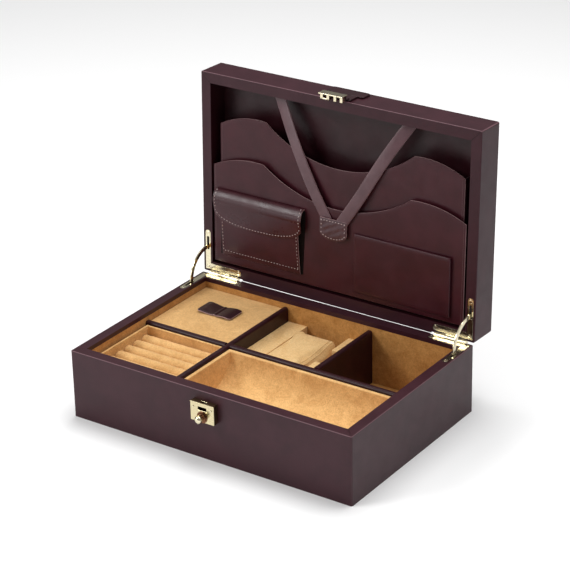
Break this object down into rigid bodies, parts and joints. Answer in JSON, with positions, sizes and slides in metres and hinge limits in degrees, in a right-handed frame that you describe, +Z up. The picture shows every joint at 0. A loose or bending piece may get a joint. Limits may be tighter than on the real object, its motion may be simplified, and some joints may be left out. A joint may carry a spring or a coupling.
{
  "type": "jewellery case",
  "caption": "Leather-covered jewellery case with a suede-lined base, ring rolls, watch pillow, lift-out cover and an organiser lid on corner hinges.",
  "frame": {"origin": "centre of the underside of the base, where the case stands", "axes": "+Z up, +X along the long side, -Y towards the front with the lock; the lid is open at rest"},
  "size_m": [0.36, 0.3043, 0.3312],
  "materials": {
    "case_leather": "smooth, semi-gloss dark brown",
    "lid_leather": "smooth, semi-gloss dark brown",
    "divider_leather": "smooth, semi-gloss dark brown",
    "suede": "napped tan suede",
    "board": "raw fibreboard, hidden",
    "gilt_metal": "polished, gold-plated"
  },
  "bodies": {
    "base": {"back_divider": "divider_leather", "base_back_wall": "board", "base_bottom_board": "board", "base_front_wall": "board", "base_hinge_leaf_left": "gilt_metal", "base_hinge_leaf_right": "gilt_metal", "base_hinge_screws": "gilt_metal", "base_leather": "case_leather", "base_left_wall": "board", "base_right_wall": "board", "base_sole": "case_leather", "cover_ledges": "suede", "cross_divider_left": "divider_leather", "cross_divider_right": "divider_leather", "floor_lining": "suede", "hinge_pins": "gilt_metal", "lock_case": "gilt_metal", "lock_rivets": "gilt_metal", "lock_rosette": "gilt_metal", "long_divider": "divider_leather", "pillow_stand": "suede", "ring_bed": "suede", "ring_rolls": "suede", "ring_tray": "suede", "scoop_tray": "suede", "wall_lining": "suede", "watch_ledge_left": "suede", "watch_ledge_right": "suede"},
    "lid": {"lid_front_wall": "board", "lid_back_wall": "board", "lid_left_wall": "board", "lid_right_wall": "board", "lid_top_board": "board", "lid_leather": "case_leather", "lid_wall_lining": "lid_leather", "lid_back_lining": "lid_leather", "back_pocket": "lid_leather", "back_pocket_gusset": "lid_leather", "front_pocket": "lid_leather", "front_pocket_gusset": "lid_leather", "pouch": "lid_leather", "slip_panel": "lid_leather", "lid_hinge_leaf_left": "gilt_metal", "lid_hinge_leaf_right": "gilt_metal", "lid_hinge_screws": "gilt_metal", "hasp_root": "lid_leather"},
    "hasp": {"hasp": "gilt_metal", "hasp_tongue": "lid_leather"},
    "strap": {"strap_left": "lid_leather", "strap_right": "lid_leather", "strap_shield": "lid_leather"},
    "flap": {"pouch_flap": "lid_leather"},
    "stay_left": {"stay_left": "gilt_metal"},
    "stay_right": {"stay_right": "gilt_metal"},
    "cover": {"compartment_cover": "suede", "pull_tab": "lid_leather"},
    "pillow": {"watch_pillow": "suede"},
    "knob": {"lock_knob": "gilt_metal"}
  },
  "joints": [
    {"name": "lid_hinge", "type": "hinge", "parent": "base", "child": "lid", "pos_m": [0, 0.1219, 0.0797], "axis": [1, 0, 0], "range_deg": [0, 92]},
    {"name": "stay_left_swing", "type": "hinge", "parent": "base", "child": "stay_left", "pos_m": [0, 0.1219, 0.0797], "axis": [1, 0, 0], "range_deg": [0, 46]},
    {"name": "stay_right_swing", "type": "hinge", "parent": "base", "child": "stay_right", "pos_m": [0, 0.1219, 0.0797], "axis": [1, 0, 0], "range_deg": [0, 46]},
    {"name": "hasp_swing", "type": "hinge", "parent": "lid", "child": "hasp", "pos_m": [0, 0.14723, 0.32376], "axis": [1, 0, 0], "range_deg": [-60, 0]},
    {"name": "strap_swing", "type": "hinge", "parent": "lid", "child": "strap", "pos_m": [0, 0.14676, 0.30737], "axis": [1, 0, 0], "range_deg": [-50, 0]},
    {"name": "flap_swing", "type": "hinge", "parent": "lid", "child": "flap", "pos_m": [0, 0.12647, 0.18751], "axis": [1, 0, 0], "range_deg": [-85, 0]},
    {"name": "cover_lift", "type": "slide", "parent": "base", "child": "cover", "axis": [0, 0, -1], "range_m": [-0.06, 0]},
    {"name": "pillow_lift", "type": "slide", "parent": "base", "child": "pillow", "axis": [0, 0, -1], "range_m": [-0.06, 0]},
    {"name": "knob_turn", "type": "hinge", "parent": "base", "child": "knob", "pos_m": [0, -0.1275, 0.0535], "axis": [0, 1, 0], "range_deg": [0, 90]}
  ],
  "couplings": [
    {"joint": "stay_left_swing", "follows": "lid_hinge", "ratio": 0.5},
    {"joint": "stay_right_swing", "follows": "lid_hinge", "ratio": 0.5}
  ]
}
